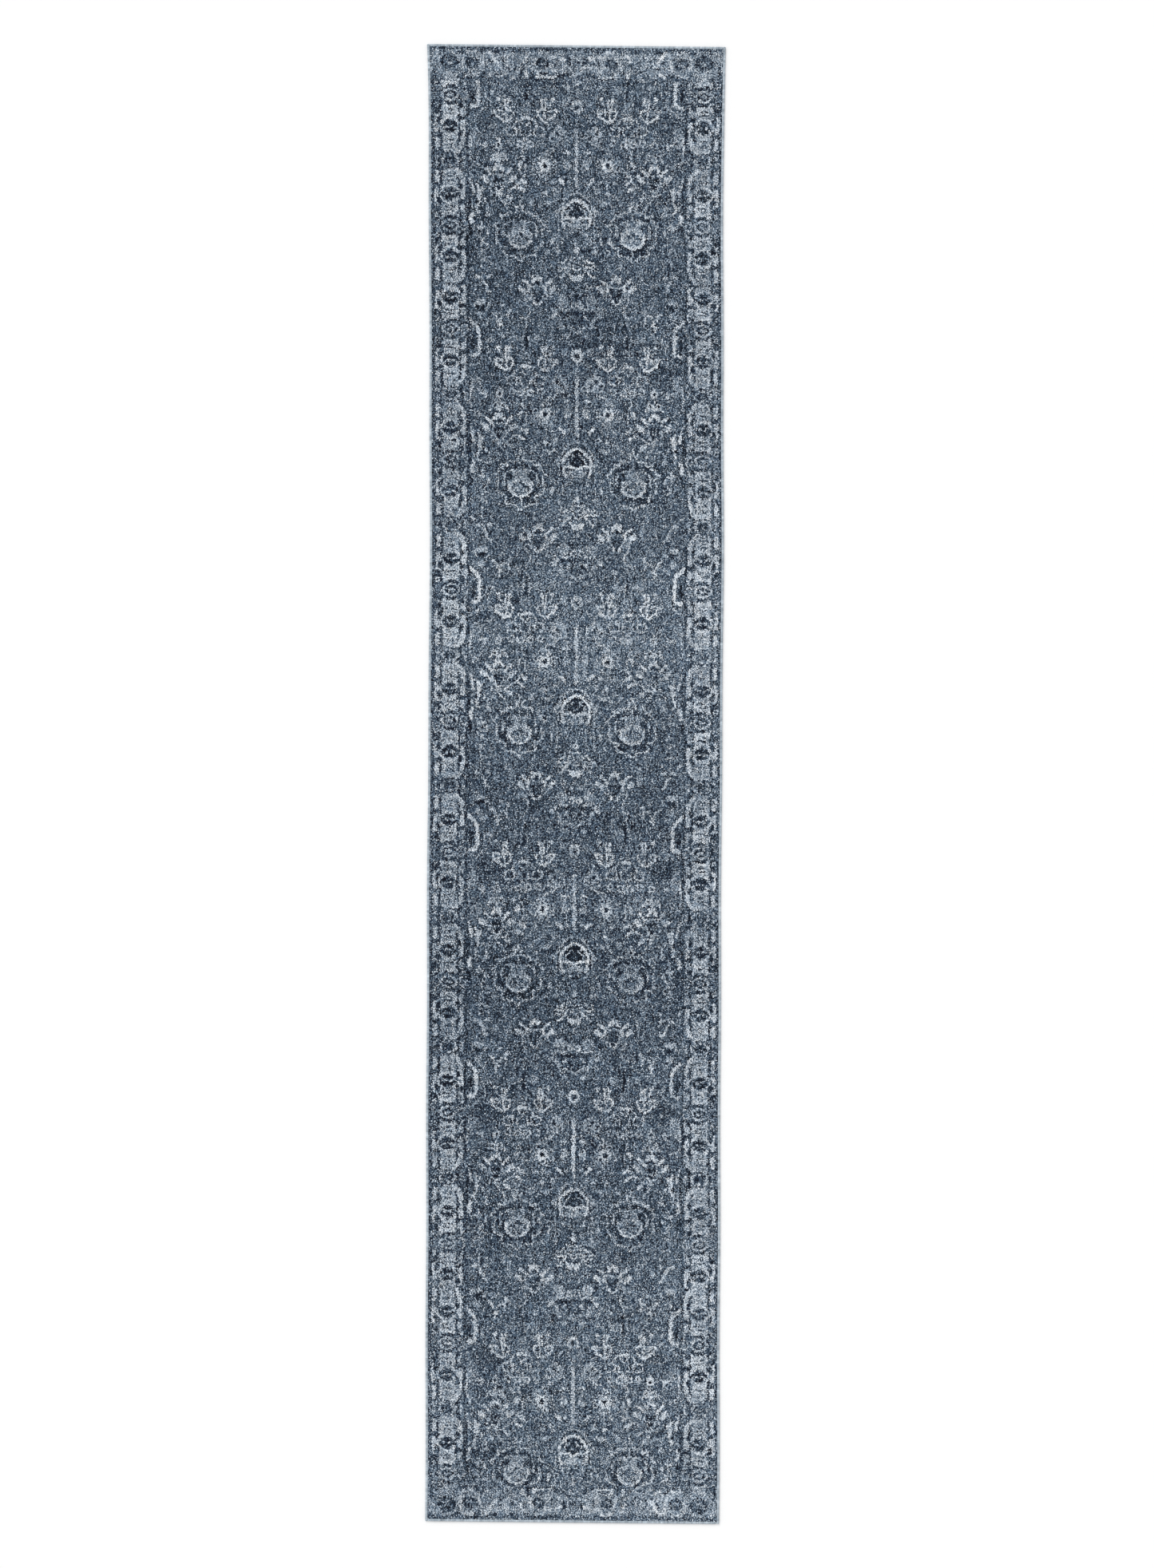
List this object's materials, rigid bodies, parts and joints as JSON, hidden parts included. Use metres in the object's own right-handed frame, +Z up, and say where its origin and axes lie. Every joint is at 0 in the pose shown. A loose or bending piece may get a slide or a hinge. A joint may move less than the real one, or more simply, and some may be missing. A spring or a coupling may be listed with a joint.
{
  "type": "runner rug",
  "caption": "Long narrow runner rug of cut pile on a woven ground, with a distressed floral field, cartouche borders and yarn-bound edges.",
  "frame": {"origin": "middle of the underside, on the floor", "axes": "+Y along the rug towards its head end, +X across it to the right as seen from above with the head end up, +Z up out of the pile"},
  "size_m": [0.8, 4, 0.0086],
  "materials": {
    "field_yarn": "matte cut pile in mixed navy, denim blue, pale blue and silver grey yarns",
    "border_yarn": "matte cut pile, paler silver grey and lilac grey yarns over navy",
    "ground_weave": "coarse undyed woven back",
    "edge_cord": "undyed twisted cord",
    "wrapping_yarn": "pale blue grey yarn, slightly lustrous"
  },
  "bodies": {
    "root": {"ground_cloth": "ground_weave", "field_pile": "field_yarn", "left_border_pile": "border_yarn", "right_border_pile": "border_yarn", "head_border_pile": "border_yarn", "foot_border_pile": "border_yarn", "left_edge_cord": "edge_cord", "right_edge_cord": "edge_cord", "head_end_cord": "edge_cord", "foot_end_cord": "edge_cord", "left_edge_wrap": "wrapping_yarn", "right_edge_wrap": "wrapping_yarn", "head_end_wrap": "wrapping_yarn", "foot_end_wrap": "wrapping_yarn"}
  },
  "joints": []
}
